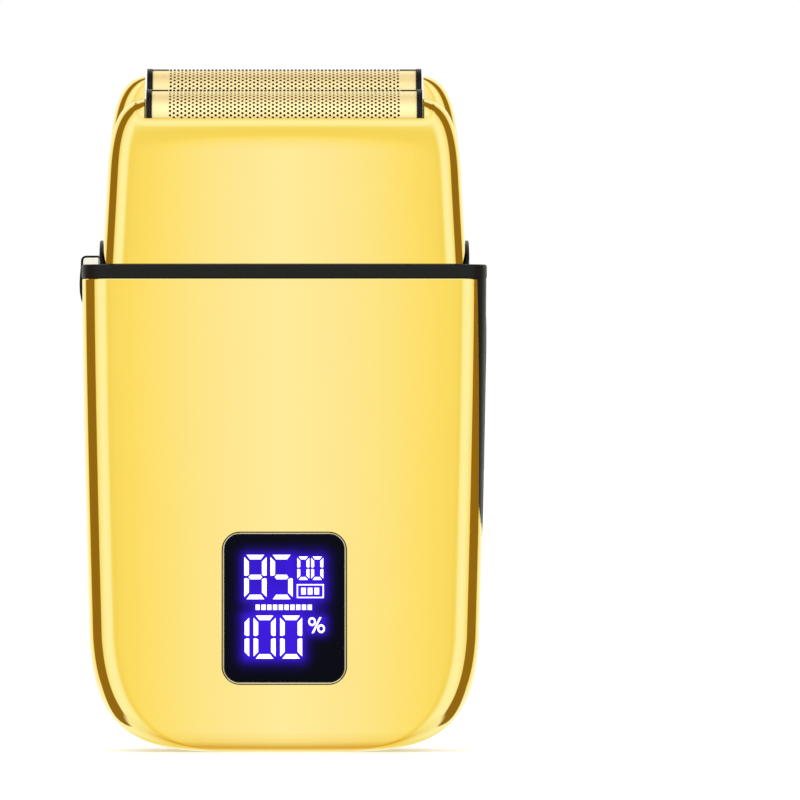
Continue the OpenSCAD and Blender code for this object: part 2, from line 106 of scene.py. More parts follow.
def body_level(t):
    """Half width, half depth, corner radius and height round the bottom, for t from 0 to 1."""
    edge = side_a(BEND_Z)
    return (bezier((14, 29.5, edge - 0.6, edge), t), bezier((6.5, 9.6, BODY_B - 0.4, BODY_B), t),
            bezier((6, 5.6, 5, BODY_CORNER), t), bezier((0, 0.3, 8, BEND_Z), t))


def head_a(z):
    return HEAD_A - (z - HEAD_Z) * HEAD_LEAN


def head_levels(ear, steps):
    """Levels of a head shell from its base to the top of its ears."""
    z0 = ear - EAR_RISE
    a0 = head_a(z0)
    levels = [(head_a(z), HEAD_B - (z - HEAD_Z) * FACE_LEAN, HEAD_CORNER, z)
              for z in np.linspace(HEAD_Z, z0, 14)[:-1]]
    for t in np.linspace(0, 1, steps):
        levels.append((bezier((a0, a0 - 0.4, a0 - 1.7, EAR_HALF), t),
                       bezier((HEAD_B - 0.2, HEAD_B - 0.4, HEAD_B - 0.6, HEAD_B - 3.4), t),
                       HEAD_CORNER, bezier((z0, z0 + 7, ear - 0.1, ear), t)))
    return levels


# ---- mesh helpers ----

def add_object(name, data):
    made = bpy.data.objects.new(name, data)
    bpy.context.scene.collection.objects.link(made)
    return made


def make_object(name, points, faces, smooth_angle=35):
    mesh = bpy.data.meshes.new(name)
    mesh.from_pydata([tuple(float(c) * MM for c in p) for p in points], [], faces)
    mesh.validate()
    piece = add_object(name, mesh)
    tidy(piece, smooth_angle)
    return piece


def tidy(piece, smooth_angle=35):
    """Outward normals and smooth shading, with edges sharper than the angle kept crisp."""
    bm = bmesh.new()
    bm.from_mesh(piece.data)
    bmesh.ops.remove_doubles(bm, verts=bm.verts, dist=1e-6)
    bmesh.ops.recalc_face_normals(bm, faces=bm.faces)
    bm.to_mesh(piece.data)
    bm.free()
    piece.data.shade_smooth()
    piece.data.set_sharp_from_angle(angle=math.radians(smooth_angle))


def apply_modifiers(piece):
    depsgraph = bpy.context.evaluated_depsgraph_get()
    mesh = bpy.data.meshes.new_from_object(piece.evaluated_get(depsgraph))
    piece.modifiers.clear()
    piece.data = mesh


def boolean(piece, other, operation="DIFFERENCE"):
    """Cuts or joins other into piece with the exact solver and removes other."""
    modifier = piece.modifiers.new("cut", "BOOLEAN")
    modifier.operation = operation
    modifier.object = other
    modifier.solver = "EXACT"
    apply_modifiers(piece)
    bpy.data.objects.remove(other)


def grid_faces(rows, columns, wrap=False, offset=0, flip=False):
    faces = []
    for i in range(rows - 1):
        for j in range(columns if wrap else columns - 1):
            k = (j + 1) % columns
            quad = [offset + i * columns + j, offset + i * columns + k,
                    offset + (i + 1) * columns + k, offset + (i + 1) * columns + j]
            faces.append(quad[::-1] if flip else quad)
    return faces


def skin_faces(rows, columns):
    """Faces of an outer and an inner grid, and of the four rims that join them."""
    inner = rows * columns
    faces = grid_faces(rows, columns) + grid_faces(rows, columns, offset=inner, flip=True)
    for i in range(rows - 1):
        for k in (i * columns, (i + 1) * columns - 1):
            faces.append([k, k + columns, inner + k + columns, inner + k])
    for j in range(columns - 1):
        for k in (j, (rows - 1) * columns + j):
            faces.append([k, k + 1, inner + k + 1, inner + k])
    return faces


def tube_faces(levels, count, start=0):
    """Faces through rings of count points, with a cap at each end."""
    last = start + (levels - 1) * count
    ends = [[start + i for i in range(count)][::-1], [last + i for i in range(count)]]
    return grid_faces(levels, count, wrap=True, offset=start) + ends


def loop_faces(levels, count):
    """Faces of a closed profile of levels points, carried once round count stations."""
    last = (levels - 1) * count
    return grid_faces(levels, count, wrap=True) + [
        [i, (i + 1) % count, last + (i + 1) % count, last + i] for i in range(count)]


TURN_WEIGHT = 6.0


def resample(path, count):
    """count points along a path, spaced by its length plus a share for each bend."""
    path = np.asarray(path)
    steps = np.diff(path, axis=0)
    length = np.linalg.norm(steps, axis=1)
    heading = np.arctan2(steps[:, 1], steps[:, 0])
    turn = np.abs(np.diff(np.unwrap(heading)))
    weight = length.copy()
    weight[1:] += TURN_WEIGHT * turn
    along = np.concatenate([[0], np.cumsum(weight)])
    wanted = np.linspace(0, along[-1], count)
    return np.column_stack([np.interp(wanted, along, path[:, i]) for i in range(2)])


def quarter(a, b, r, y_end, crown=CROWN):
    """From the middle of the front face round to height y_end on the +X flank, as a fine path."""
    face = [(x, -b) for x in np.linspace(0, a - r, 60)]
    reach = max(min((y_end - (b - r)) / r, 1), 0)
    last = math.acos(reach)
    arc = [(a - r + r * math.sin(t), -(b - r) - r * math.cos(t)) for t in np.linspace(0, last, 50)[1:]]
    path = face + arc
    if y_end < b - r:
        path += [(a, -y) for y in np.linspace(b - r, y_end, 12)[1:]]
    path = np.array(path)
    path[:, 1] *= 1 - crown * (path[:, 0] / a) ** 2
    return path


def half_ring(a, b, r, y_left, y_right, count, crown):
    right = resample(quarter(a, b, r, y_right, crown), count)
    left = resample(quarter(a, b, r, y_left, crown), count)
    left[:, 0] *= -1
    return np.vstack([left[::-1], right[1:]])


def full_ring(a, b, r, count):
    quad = resample(quarter(a, b, r, 0), count)
    front = np.vstack([(quad * [-1, 1])[::-1], quad[1:]])
    back = (quad * [1, -1])[::-1]
    back_left = quad * [-1, -1]
    return np.vstack([front, back[1:], back_left[1:-1]])


FLANK = 1 - CROWN * 0.94   # how far the crown draws the section in beside the flanks


def panel_half(z):
    """Half width of the right side panel at a height."""
    if z >= PANEL_Z:
        return PANEL_LOW + (PANEL_TOP - PANEL_LOW) * (z - PANEL_Z) / (BODY_H - PANEL_Z)
    return PANEL_LOW * math.sqrt(max(1 - ((PANEL_Z - z) / PANEL_END) ** 2, 0))


def trim_half(z):
    if z >= TRIM_Z:
        return TRIM_LOW + (TRIM_TOP - TRIM_LOW) * (z - TRIM_Z) / (BODY_H - TRIM_Z)
    return TRIM_LOW * math.sqrt(max(1 - ((TRIM_Z - z) / TRIM_LOW) ** 2, 0))


def closed_loft(name, levels, ring_at):
    """Solid loft through levels of (half width, half depth, corner, height); ring_at gives each outline."""
    points = [(x, y, level[3]) for level in levels for x, y in ring_at(*level)]
    return make_object(name, points, tube_faces(len(levels), len(points) // len(levels)))


def ring_of(count):
    """Outlines all the way round, for closed_loft, with count points to each quarter."""
    return lambda a, b, r, z: full_ring(a, b, r, count)


def box_solid(name, low, high):
    corners = [(x, y, z) for x in (low[0], high[0]) for y in (low[1], high[1]) for z in (low[2], high[2])]
    faces = [(0, 1, 3, 2), (4, 6, 7, 5), (0, 4, 5, 1), (2, 3, 7, 6), (0, 2, 6, 4), (1, 5, 7, 3)]
    return make_object(name, corners, faces)


def rounded_outline(width, height, radius, steps=10):
    """Points round a rounded rectangle centred on zero."""
    points = []
    for q, (sx, sy) in enumerate(((1, 1), (-1, 1), (-1, -1), (1, -1))):
        for i in range(steps + 1):
            t = math.radians(90 * (q + i / steps))
            points.append((sx * (width / 2 - radius) + radius * math.cos(t),
                           sy * (height / 2 - radius) + radius * math.sin(t)))
    return points


def stack(name, outlines, place, smooth_angle=35):
    """Solid through matching outlines; place turns (u, v, level) into x, y, z."""
    count = len(outlines[0][0])
    points = [place(u, v, level) for outline, level in outlines for u, v in outline]
    return make_object(name, points, tube_faces(len(outlines), count), smooth_angle)


def swept(name, outlines, place):
    """Like stack, but a ring: the last outline joins the first."""
    points = [place(u, v, level) for outline, level in outlines for u, v in outline]
    return make_object(name, points, loop_faces(len(outlines), len(outlines[0][0])), 30)


def edged(outline_at, depth, edge, steps=4):
    """Outlines for a plate with a rounded front edge: outline_at(inset) at each level."""
    levels = [(outline_at(0), 0.0), (outline_at(0), depth - edge)]
    for i in range(1, steps + 1):
        t = math.radians(90 * i / steps)
        levels.append((outline_at(edge * (1 - math.cos(t))), depth - edge + edge * math.sin(t)))
    return levels


def softened(node, name, width, segments):
    """A copy of a CAD node with its edges rounded over."""
    piece = add_object(name, NODES[node].data.copy())
    bm = bmesh.new()
    bm.from_mesh(piece.data)
    bmesh.ops.remove_doubles(bm, verts=bm.verts, dist=2e-6)
    bmesh.ops.dissolve_limit(bm, angle_limit=math.radians(2), verts=bm.verts, edges=bm.edges)
    bm.to_mesh(piece.data)
    bm.free()
    bevel = piece.modifiers.new("edge", "BEVEL")
    bevel.width = width * MM
    bevel.segments = segments
    bevel.limit_method = "ANGLE"
    bevel.angle_limit = math.radians(30)
    bevel.use_clamp_overlap = True
    apply_modifiers(piece)
    piece.data.materials.clear()
    tidy(piece, 40)
    return piece


# ---- materials ----

GRAIN_SCALE, GRAIN_DEPTH = 1500, 0.02


def material(name, colour, metallic=0.0, roughness=0.4, spread=0.05, scale=400, tint=0.04,
             bump=0.0, specular=0.5, stretch=(1, 1, 1)):
    """Principled material whose tint, roughness and fine relief come from noise in object space."""
    made = bpy.data.materials.new(name)
    made.use_nodes = True
    nodes, links = made.node_tree.nodes, made.node_tree.links
    shader = nodes["Principled BSDF"]
    shader.inputs["Metallic"].default_value = metallic
    shader.inputs["Specular IOR Level"].default_value = specular
    place = nodes.new("ShaderNodeTexCoord")
    mapping = nodes.new("ShaderNodeMapping")
    mapping.inputs["Scale"].default_value = stretch
    links.new(place.outputs["Object"], mapping.inputs["Vector"])
    noise = nodes.new("ShaderNodeTexNoise")
    noise.inputs["Scale"].default_value = scale
    noise.inputs["Detail"].default_value = 4
    links.new(mapping.outputs["Vector"], noise.inputs["Vector"])
    ramp = nodes.new("ShaderNodeMapRange")
    ramp.inputs["To Min"].default_value = max(roughness - spread, 0.01)
    ramp.inputs["To Max"].default_value = roughness + spread
    links.new(noise.outputs["Fac"], ramp.inputs["Value"])
    links.new(ramp.outputs["Result"], shader.inputs["Roughness"])
    mix = nodes.new("ShaderNodeMix")
    mix.data_type = "RGBA"
    mix.inputs["A"].default_value = (*[c * (1 - tint) for c in colour], 1)
    mix.inputs["B"].default_value = (*[min(c * (1 + tint), 1) for c in colour], 1)
    links.new(noise.outputs["Fac"], mix.inputs["Factor"])
    links.new(mix.outputs["Result"], shader.inputs["Base Color"])
    if bump:
        grain = nodes.new("ShaderNodeTexNoise")
        grain.inputs["Scale"].default_value = GRAIN_SCALE
        grain.inputs["Detail"].default_value = 3
        links.new(mapping.outputs["Vector"], grain.inputs["Vector"])
        relief = nodes.new("ShaderNodeBump")
        relief.inputs["Strength"].default_value = bump
        relief.inputs["Distance"].default_value = GRAIN_DEPTH * MM
        links.new(grain.outputs["Fac"], relief.inputs["Height"])
        links.new(relief.outputs["Normal"], shader.inputs["Normal"])
    return made


def shines(look, colour, strength=None):
    """Gives a material light of its own."""
    shader = look.node_tree.nodes["Principled BSDF"]
    shader.inputs["Emission Color"].default_value = (*colour, 1)
    if strength:
        shader.inputs["Emission Strength"].default_value = strength
    return look


GOLD = material("polished_gold", (1.0, 0.79, 0.29), metallic=1, roughness=0.055, spread=0.02, scale=120,
                tint=0.015)
FOIL_GOLD = material("gold_foil", (1.0, 0.8, 0.42), metallic=0.45, roughness=0.42, spread=0.06, scale=900,
                     tint=0.05, bump=0.15, stretch=(0.08, 1, 1))
BLACK = material("black_satin", (0.006, 0.006, 0.007), roughness=0.36, spread=0.05, tint=0.15, bump=0.12,
                 specular=0.16)
PANEL = material("panel_black", (0.006, 0.006, 0.008), roughness=0.2, spread=0.04, tint=0.1, bump=0.05,
                 specular=0.25)
# Steel darkened to near black: painted shade for the cutters seen through the foil holes
SHADED_STEEL = material("steel_painted_shade", (0.02, 0.02, 0.022), metallic=0.3, roughness=0.5, spread=0.06, tint=0.1,
                      specular=0.1)
KEY = material("key_black", (0.02, 0.02, 0.022), roughness=0.42, spread=0.05, tint=0.1, bump=0.2)
MARK = material("mark_grey", (0.55, 0.55, 0.56), roughness=0.45, spread=0.04, tint=0.04)
SEAL = material("display_seal", (0.03, 0.018, 0.004), roughness=0.6, spread=0.05, tint=0.1, specular=0.05)
RIM = material("polished_rim", (0.93, 0.9, 0.82), metallic=1, roughness=0.1, spread=0.03, tint=0.02)
STEEL = material("steel", (0.62, 0.63, 0.65), metallic=1, roughness=0.3, spread=0.07, scale=700, tint=0.05,
                 bump=0.1, stretch=(0.1, 1, 1))
NICKEL = material("nickel", (0.8, 0.76, 0.66), metallic=1, roughness=0.16, spread=0.05, tint=0.04)
BOARD = material("circuit_board", (0.02, 0.16, 0.07), roughness=0.4, spread=0.08, tint=0.2, bump=0.2)
WRAP = material("cell_wrap", (0.04, 0.2, 0.55), roughness=0.25, spread=0.04, tint=0.06)
RUBBER = material("seal_rubber", (0.025, 0.025, 0.025), roughness=0.8, spread=0.06, tint=0.1, bump=0.4)
NYLON = material("white_nylon", (0.82, 0.82, 0.79), roughness=0.45, spread=0.06, tint=0.03, bump=0.15)

SLOT_LOOK = {
    "gold_shell": GOLD, "gold_foil": FOIL_GOLD, "black_satin": BLACK, "panel_black": PANEL,
    "polished_rim": RIM, "display_glass": PANEL, "circuit_board": BOARD, "steel": STEEL,
    "nickel": NICKEL, "cell_wrap": WRAP, "seal_rubber": RUBBER, "white_nylon": NYLON,
}
NODE_SLOT = {s["node"]: s["material_slot"] for s in frame["record"]["subparts"]}
NODE_BODY = {n: body for body, ns in frame["record"]["behaviour"]["bodies"].items() for n in ns}
for node_name, ob in NODES.items():
    ob.data.materials.clear()
    ob.data.materials.append(SLOT_LOOK[NODE_SLOT[node_name]])


def dress(piece, look, node, replaces=True, body=None):
    """Gives a piece its material and body, and lets it stand for its CAD node."""
    piece.data.materials.clear()
    piece.data.materials.append(look)
    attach(piece, body or NODE_BODY[node])
    if replaces:
        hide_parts(node)
    return piece


# ---- handle shells ----

HALF_COUNT = 85


def shell_levels():
    """Levels from the socket's rim out over the foot, round the bottom and up to the collar."""
    levels = [(6.4, 4.4, 4.35, 0.0, 0.0), (10, 5.4, 5.2, 0.0, 0.03)]
    levels += [(*body_level(t), CROWN) for t in np.linspace(0, 1, 40)]
    heights = list(np.linspace(BEND_Z, PANEL_Z - PANEL_END, 10)[1:])
    heights += [PANEL_Z - PANEL_END * math.cos(t) for t in np.linspace(0, math.pi / 2, 22)[1:]]
    heights += list(np.linspace(PANEL_Z, BODY_H - 0.3, 26)[1:])
    levels += [(side_a(z), BODY_B, BODY_CORNER, z, CROWN) for z in heights]
    top = side_a(BODY_H)
    levels += [(top, BODY_B, BODY_CORNER, BODY_H - 0.26, CROWN)]
    levels += [(top - 0.06, BODY_B - 0.06, BODY_CORNER, BODY_H - 0.12, CROWN),
               (top - 0.28, BODY_B - 0.28, BODY_CORNER - 0.2, BODY_H - 0.01, CROWN)]
    return levels


def handle_shell(name, sign):
    """Front (sign 1) or rear (-1) half of the handle: outer skin, inner skin and the rims between."""
    skins = []
    for inset in (0.0, WALL):
        rows = []
        for a, b, r, z, crown in shell_levels():
            right = panel_half(z) / FLANK + SEAM
            left = trim_half(z) / FLANK + SEAM
            low = z < 1e-6
            ring = half_ring(a - (0 if low else inset), b - (0 if low else inset), max(r - inset, 0.6),
                             left, right, HALF_COUNT, crown)
            lift = inset if z < inset * 2 else 0
            rows.append([(x, y * sign, max(z, lift) if inset else z) for x, y in ring])
        skins.append(rows)
    rows, columns = len(skins[0]), len(skins[0][0])
    points = [p for skin in skins for row in skin for p in row]
    return make_object(name, points, skin_faces(rows, columns), 30)


def front_plate(name, width, height, radius, y_back, y_front, z, edge=0.0, steps=12):
    """Rounded plate facing the front, from y_back to y_front, with an optional rounded edge."""
    depth = y_back - y_front

    def outline_at(inset):
        return rounded_outline(width - 2 * inset, height - 2 * inset, radius - inset, steps)

    if edge:
        outlines = edged(outline_at, depth, edge)
    else:
        outlines = [(outline_at(0), 0.0), (outline_at(0), depth)]
    return stack(name, outlines, lambda u, v, level: (u, y_back - level, z + v))


BEZEL_LOW, BEZEL_HIGH = box_mm("display_bezel")
GROOVE = 0.14
DISPLAY_W = BEZEL_HIGH[0] - BEZEL_LOW[0] - 2 * GROOVE
DISPLAY_H = BEZEL_HIGH[2] - BEZEL_LOW[2] - 2 * GROOVE
DISPLAY_Z = middle_z("display_bezel")

CUT_R, RIM_R, LENS_R = 3.2, 3.1, 2.7

front_shell = handle_shell("handle_front_shell", 1)
boolean(front_shell, front_plate("display_cut", DISPLAY_W + 2 * GROOVE, DISPLAY_H + 2 * GROOVE, CUT_R,
                                 -BODY_B + 5, -BODY_B - 3, DISPLAY_Z))
tidy(front_shell, 30)
dress(front_shell, GOLD, "front_shell")

rear_shell = handle_shell("handle_rear_shell", -1)
SCREW_Z = middle_z("shell_screws")
SCREW_HEAD_R, SCREW_CUT_R = 1.9, 2.05
SCREW_X = box_mm("shell_screws")[1][0] - SCREW_HEAD_R


def disc_outline(radius, steps=40):
    return [(radius * math.cos(2 * math.pi * i / steps), radius * math.sin(2 * math.pi * i / steps))
            for i in range(steps)]


def rod_y(name, radius, y0, y1, x, z):
    outline = disc_outline(radius)
    return stack(name, [(outline, y0), (outline, y1)], lambda u, v, level: (x + u, level, z + v))


for side in (-1, 1):
    boolean(rear_shell, rod_y("screw_cut", SCREW_CUT_R, 6, 14, side * SCREW_X, SCREW_Z))
tidy(rear_shell, 30)
dress(rear_shell, GOLD, "rear_shell")


# ---- side panel, trim and keys ----

PATCH_ROWS, PATCH_GAP, PATCH_THICK = 60, 0.05, 0.65


def flank_patch(name, side, half, z_low, z_high, count=24):
    """Plate let into a flank of the handle, following its surface, half(z) wide each way."""
    rows, gap = PATCH_ROWS, PATCH_GAP
    heights = z_low + gap + (z_high - z_low - gap) * (1 - np.cos(np.linspace(0, math.pi / 2, rows)))
    skins = []
    for inset in (0.0, PATCH_THICK):
        skin = []
        for z in heights:
            a = side_a(z) - inset
            b = BODY_B - inset
            r = BODY_CORNER - inset
            y_end = max(half(z) / FLANK - gap, 0.02)
            whole = quarter(a, b, r, 0)
            inside = whole[-whole[:, 1] <= y_end]
            if len(inside) > 2:
                path = resample(inside, count)
            else:
                path = np.column_stack([np.full(count, a), np.linspace(-y_end, 0, count)])
            full = np.vstack([path, (path * [1, -1])[::-1][1:]])
            skin.append([(side * x, y, z) for x, y in full])
        skins.append(skin)
    columns = len(skins[0][0])
    points = [p for skin in skins for row in skin for p in row]
    return make_object(name, points, skin_faces(rows, columns), 40)


side_panel = flank_patch("right_flank_panel", 1, panel_half, PANEL_Z - PANEL_END, BODY_H)
dress(side_panel, BLACK, "right_side_panel")
LATCH_LOW, LATCH_HIGH = box_mm("release_latch")
LATCH_SLOT_HALF, LATCH_SLOT_Z, LATCH_SLOT_X = 4.8, 77.6, -33.1
side_trim = flank_patch("left_flank_trim", -1, trim_half, TRIM_Z - TRIM_LOW, BODY_H, count=14)
boolean(side_trim, box_solid("latch_cut", (-BODY_A - 3, -LATCH_SLOT_HALF, LATCH_SLOT_Z),
                             (-BODY_A + 4, LATCH_SLOT_HALF, BODY_H + 4)))
tidy(side_trim, 40)
dress(side_trim, BLACK, "left_side_trim")

CONTROL_LOW, CONTROL_HIGH = box_mm("control_panel")


def capsule(width, height):
    return rounded_outline(width, height, width / 2 - 0.001, 16)


def flank_plate(name, outline_at, z_mid, base, depth, edge):
    """Plate standing on the right flank; u runs along Y and v along Z."""
    return stack(name, edged(outline_at, depth, edge),
                 lambda u, v, level: (side_a(z_mid + v) + base + level, u, z_mid + v))


control_z = middle_z("control_panel")
control_w = CONTROL_HIGH[1] - CONTROL_LOW[1]
control_h = CONTROL_HIGH[2] - CONTROL_LOW[2]
control = flank_plate("control_plate", lambda inset: capsule(control_w - 2 * inset, control_h - 2 * inset),
                      control_z, -0.6, 0.75, 0.15)
KEYS = {"speed_up_button": "plus", "power_button": "power", "speed_down_button": "minus"}
KEY_R, KEY_GAP, KEY_SIDES = 3.2, 0.15, 64
for key in KEYS:
    middle = middle_z(key)
    hole = disc_outline(KEY_R + KEY_GAP, KEY_SIDES)
    cut = stack("key_cut", [(hole, -3), (hole, 3)],
                lambda u, v, level: (side_a(middle) + level, u, middle + v))
    boolean(control, cut)
tidy(control, 40)
dress(control, PANEL, "control_panel")


def bar(width, height):
    return rounded_outline(width, height, min(0.12, width / 2 - 0.01, height / 2 - 0.01), 4)


def ring_sector(r_in, r_out, start, stop):
    angles = [math.radians(start + (stop - start) * i / 28) for i in range(29)]
    return ([(r_out * math.cos(t), r_out * math.sin(t)) for t in angles]
            + [(r_in * math.cos(t), r_in * math.sin(t)) for t in reversed(angles)])


def key_mark(kind):
    """Outlines of the plain symbol on a key, in Y and Z."""
    if kind == "power":
        return [ring_sector(0.82, 1.06, 125, 415), [(u, v + 0.85) for u, v in bar(0.24, 1.0)]]
    length, stroke = 1.9, 0.26
    bars = [bar(length, stroke), bar(stroke, length)]
    return bars if kind == "plus" else bars[:1]


KEY_PROUD, MARK_SUNK, MARK_THICK = 0.08, 0.2, 0.22
FLANGE_X, FLANGE_R = 32.0, KEY_R + 0.7


for key, kind in KEYS.items():
    middle = middle_z(key)
    face = side_a(middle) + KEY_PROUD
    rings = [(FLANGE_R, FLANGE_X), (FLANGE_R, FLANGE_X + 0.75), (KEY_R, FLANGE_X + 0.8), (KEY_R, face - 0.3),
             (KEY_R - 0.08, face - 0.1), (KEY_R - 0.3, face), (KEY_R - 0.55, face - 0.02),
             (KEY_R * 0.6, face - 0.16), (KEY_R * 0.25, face - 0.22)]
    cap = stack("key_" + kind, [(disc_outline(r, KEY_SIDES), x) for r, x in rings],
                lambda u, v, level: (level, u, middle + v))
    dress(cap, KEY, key)
    for number, outline in enumerate(key_mark(kind)):
        mark = stack(f"mark_{kind}_{number}", [(outline, 0.0), (outline, MARK_THICK)],
                     lambda u, v, level: (face - MARK_SUNK + level, u, middle + v), 20)
        dress(mark, MARK, key, replaces=False)


# ---- collar and latch ----

def upright(u, v, level):
    return u, v, level


def swept_collar():
    """The collar's band and top plate: one profile carried round the handle's outline."""
    a, b = side_a(BODY_H) + 0.1, BODY_B + 0.1
    profile = [(0.25, BODY_H), (0.06, BODY_H + 0.06), (0, BODY_H + 0.25), (0, COLLAR_TOP - 0.35),
               (0.1, COLLAR_TOP - 0.1), (0.35, COLLAR_TOP), (1.0, COLLAR_TOP), (1.15, COLLAR_TOP - 0.05),
               (1.2, COLLAR_TOP - 0.2), (1.2, BODY_H + 1.4), (3.0, BODY_H + 1.4), (3.0, BODY_H)]
    rings = [(full_ring(a - inset, b - inset, max(BODY_CORNER + 0.1 - inset, 1.2), 60), z)
             for inset, z in profile]
    return swept("collar_band", rings, upright)


def collar_slot(name):
    """Room for the latch at the collar's left end."""
    return box_solid(name, (-BODY_A - 3, -LATCH_SLOT_HALF, BODY_H - 1),
                     (LATCH_SLOT_X, LATCH_SLOT_HALF, COLLAR_TOP + 3))


collar = swept_collar()
boolean(collar, collar_slot("latch_slot"))
tidy(collar, 30)
dress(collar, BLACK, "collar")

# Plate across the top of the handle, inside the band, with its window for the drive
DECK_A, DECK_B, DECK_R = 34.2, 11.2, 4
deck = closed_loft("collar_plate", [(DECK_A, DECK_B, DECK_R, BODY_H + rise) for rise in (0.02, 1.35)],
                   ring_of(30))
window = rounded_outline(20, 17, 3)
boolean(deck, stack("drive_window", [(window, BODY_H - 1), (window, BODY_H + 3)], upright))
boolean(deck, collar_slot("latch_slot_2"))
tidy(deck, 30)
dress(deck, BLACK, "collar", replaces=False)


def side_peak(side):
    """Rounded black peak that rises from the collar and hugs the head's flank."""
    base, rise, reach, steps = COLLAR_TOP - 0.9, 5.2, 9.3, 40
    flat = HEAD_B - HEAD_CORNER
    crest = [(reach * k, base + rise * (1 - abs(k) ** 2.2) ** 0.8) for k in np.linspace(-1, 1, steps)]
    levels = ((31.56, 0.0), (31.95, 0.0), (32.05, 0.06), (32.1, 0.2))
    points = []
    for x, inset in levels:
        for on_crest, path in ((False, crest), (True, crest[::-1])):
            for y, z in path:
                turn = max(abs(y) - flat, 0)
                drop = HEAD_CORNER - math.sqrt(HEAD_CORNER ** 2 - turn ** 2)
                top = max(z - inset, base + 0.02)
                points.append((side * (x - drop), y * (1 - inset / reach), top if on_crest else base))
    count = 2 * steps
    faces = grid_faces(len(levels), count, wrap=True)
    for level in (0, len(levels) - 1):
        start = level * count
        faces += [[start + i, start + i + 1, start + count - 2 - i, start + count - 1 - i]
                  for i in range(steps - 1)]
    return make_object("collar_peak_" + ("right" if side > 0 else "left"), points, faces, 35)


for side in (-1, 1):
    dress(side_peak(side), BLACK, "collar", replaces=False)


def xz_slab(name, outline, half_y, edge=0.12):
    """Slab with the given outline in X and Z, half_y deep each way, with chamfered rims."""
    middle = np.mean(outline, axis=0)
    count = len(outline)
    points = []
    for y, inset in ((-half_y, edge), (-half_y + edge, 0), (half_y - edge, 0), (half_y, edge)):
        for x, z in outline:
            reach = math.hypot(x - middle[0], z - middle[1])
            keep = 1 - inset * 0.35 / max(reach, 0.4)
            points.append((middle[0] + (x - middle[0]) * keep, y, middle[1] + (z - middle[1]) * keep))
    return make_object(name, points, tube_faces(4, count), 40)


LATCH_X = LATCH_LOW[0]
LATCH_TOP = LATCH_HIGH[2]
LATCH_HALF = (LATCH_HIGH[1] - LATCH_LOW[1]) / 2
LATCH_ROOT = -32.3
HUB_X, HUB_Z, HUB_R = -34.3, 83, 0.85


def latch_corner(x, drop, r):
    """Quarter turn at the latch's upper outer corner, from its top down to its outer face."""
    return [(LATCH_X + x - r * math.sin(t), LATCH_TOP - drop + r * math.cos(t))
            for t in np.linspace(0, math.pi / 2, 10)]


def from_outside(pairs):
    """Points from (distance in from the latch's outer face, height)."""
    return [(LATCH_X + x, z) for x, z in pairs]


paddle = from_outside([(0.2, LATCH_TOP - 2.1), (0.06, 82.6), (0.0, 81.2), (0.06, 79.8), (0.28, 78.6),
                       (0.46, 78.1)])
inside = from_outside([(0.6, 78.3), (0.52, 79.8), (0.48, 81.2), (0.5, 82.6), (0.56, LATCH_TOP - 2.1)])
latch = xz_slab("latch_rocker", [(LATCH_ROOT, LATCH_TOP)] + latch_corner(1.15, 0.9, 0.9) + paddle + inside
                + latch_corner(1.2, 0.92, 0.62)[::-1] + [(LATCH_ROOT, LATCH_TOP - 0.3)], LATCH_HALF)
hub = [(HUB_X + HUB_R * math.cos(t), HUB_Z + HUB_R * math.sin(t))
       for t in np.linspace(0, 2 * math.pi, 24)[:-1]]
dress(latch, BLACK, "release_latch")
dress(xz_slab("latch_hub", hub, LATCH_HALF - 0.4, 0.05), BLACK, "release_latch", replaces=False)
face_outline = [(LATCH_ROOT, LATCH_TOP - 0.36)] + from_outside(
    [(1.15, LATCH_TOP - 0.36), (0.78, LATCH_TOP - 0.5), (0.66, LATCH_TOP - 0.9),
     (0.62, LATCH_TOP - 1.8)]) + [(LATCH_ROOT, LATCH_TOP - 1.8)]
dress(xz_slab("latch_face", face_outline, LATCH_HALF - 0.15, 0.05), RIM, "release_latch_face")


# ---- display ----

def display_ring(name, grow, radius, profile, place):
    """Ring round the window: profile holds (inset from its outer edge, level)."""
    return swept(name, [(rounded_outline(DISPLAY_W + grow - 2 * inset, DISPLAY_H + grow - 2 * inset,
                                         radius - inset, 14), level) for inset, level in profile], place)


rim_profile = [(-0.1, 0.0), (-0.1, 1.6), (0, 1.6), (0, 2.0), (0.03, 2.1), (0.09, 2.15), (0.17, 2.1),
               (0.2, 2.0), (0.2, 1.0), (1.2, 1.0), (1.2, 0.0)]
dress(display_ring("display_rim", 0, RIM_R, rim_profile,
                   lambda u, v, level: (u, BEZEL_HIGH[1] - level, DISPLAY_Z + v)), RIM, "display_bezel")
# Dark seal in the groove between the rim and the shell
seal_profile = [(-0.01, 0.8), (-0.01, 0.12), (GROOVE + 0.02, 0.12), (GROOVE + 0.02, 0.8)]
dress(display_ring("display_seal", 2 * GROOVE, CUT_R, seal_profile,
                   lambda u, v, level: (u, -BODY_B + level, DISPLAY_Z + v)), SEAL, "display_bezel",
      replaces=False)
LENS_LOW, LENS_HIGH = box_mm("display_lens")
LENS_W, LENS_H = LENS_HIGH[0] - LENS_LOW[0], LENS_HIGH[2] - LENS_LOW[2]
lens = front_plate("display_window", LENS_W, LENS_H, LENS_R, LENS_HIGH[1], LENS_LOW[1] + 0.08, DISPLAY_Z,
                   edge=0.2, steps=14)
dress(lens, PANEL, "display_lens")

# Where the lit figures sit: left, right, bottom and top, from the middle of the window
BLOCKS = {"rate": (-6.92, 1.45, 1.56, 9.23), "rest": (2.25, 6.8, 4.9, 8.94), "box": (2.16, 6.83, 1.76, 4.16),
          "row": (-4.96, 4.98, -0.41, 0.74), "charge": (-6.92, 3.1, -8.72, -1.27),
          "percent": (4.11, 7.05, -4.31, -1.54)}
